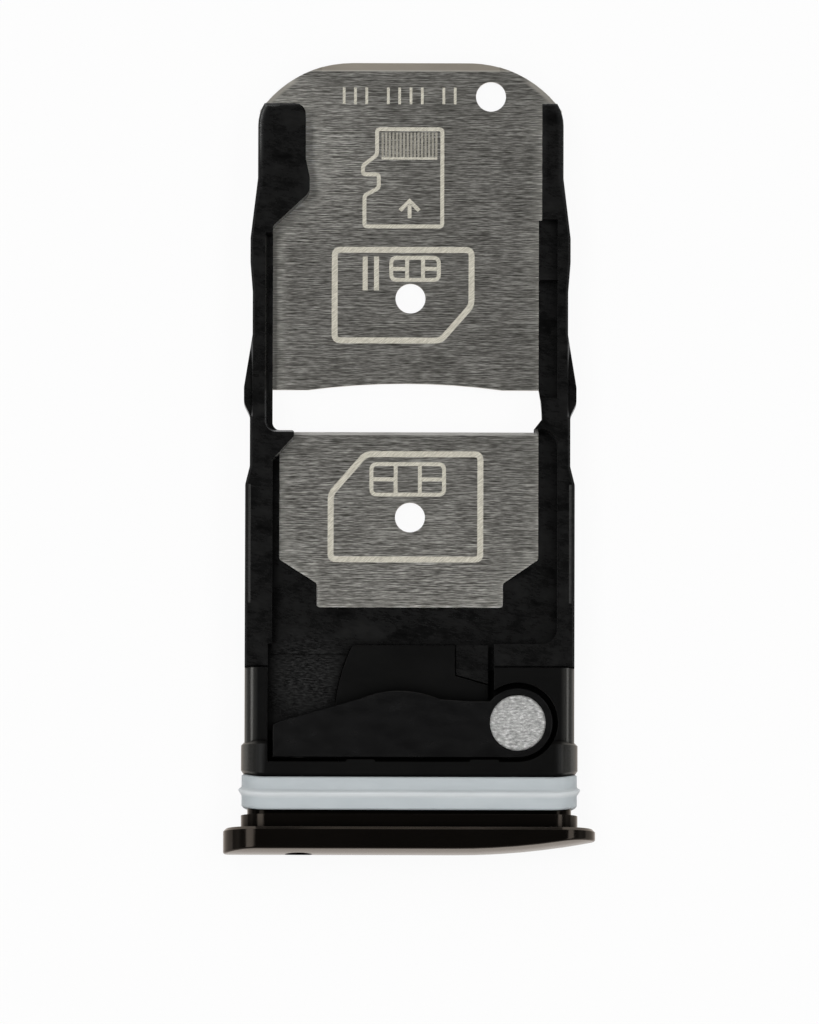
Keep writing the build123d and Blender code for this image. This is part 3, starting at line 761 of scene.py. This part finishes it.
def chip_field(left, right, low, high):
    """Strokes of a chip's contact field: a frame with two bars up and a short one at each side."""
    third = (right - left) / 3
    middle = (low + high) / 2
    half = FINE_LINE / 2
    frame_corners = [(left, low), (right, low), (right, high), (left, high)]
    strokes = [(frame_corners, 0.25, FINE_LINE, True)]
    for x in (left + third, right - third):
        strokes.append(bar(x, low + half, x, high - half, FINE_LINE))
    strokes.append(bar(left + half, middle, left + third - half, middle, FINE_LINE))
    strokes.append(bar(right - third + half, middle, right - half, middle, FINE_LINE))
    return strokes


lower_outline = [(-3.49, -4.47), (3.10, -4.47), (3.10, 0.19), (-1.95, 0.19), (-3.49, -1.57)]
lower_strokes = [(lower_outline, 0.25, LINE, True)] + chip_field(-1.70, 1.50, -1.60, -0.25)
laser_mark("lower_card_mark", lower_strokes, laser_cream)

upper_outline = [(-3.34, 5.23), (1.33, 5.23), (2.69, 6.78), (2.69, 9.25), (-3.34, 9.25)]
upper_strokes = [(upper_outline, 0.25, LINE, True)] + chip_field(-0.85, 1.25, 7.92, 8.90)
upper_strokes += [bar(x, 7.45, x, 8.95, 0.22) for x in (-2.0, -1.5)]
laser_mark("upper_card_mark", upper_strokes, laser_cream)

memory_outline = [
    (-2.04, 10.29), (1.39, 10.29), (1.39, 14.61), (-1.49, 14.61), (-1.49, 13.47), (-2.11, 12.99),
    (-2.11, 12.60), (-1.41, 12.60), (-1.41, 12.00), (-2.04, 11.66),
]
BAR_COUNT = 16
BAR_WIDTH = 0.095
BAR_LOW, BAR_HIGH = 13.31, 14.46
bar_pitch = 2.37 / (BAR_COUNT - 1)
contact_strokes = []
for k in range(BAR_COUNT):
    bar_x = -1.245 + k * bar_pitch
    contact_strokes.append(bar(bar_x, BAR_LOW + 0.05, bar_x, BAR_HIGH, BAR_WIDTH))
laser_mark("contact_mark", contact_strokes, laser_faint)

memory_strokes = [(memory_outline, 0.14, FINE_LINE, True)]
memory_strokes.append(bar(-1.2925, BAR_LOW, 1.1725, BAR_LOW, 0.10))
memory_strokes.append(bar(-0.05, 10.66, -0.05, 11.28, FINE_LINE))
memory_strokes.append(([(-0.47, 11.00), (-0.05, 11.42), (0.37, 11.00)], 0, FINE_LINE, False))
laser_mark("memory_card_mark", memory_strokes, laser_cream)

tally = (-2.95, -2.45, -1.95, -1.0, -0.5, 0.0, 0.5, 1.45, 1.95)
laser_mark("tally_mark", [bar(x, 15.72, x, 16.46, 0.12) for x in tally], laser_cream)
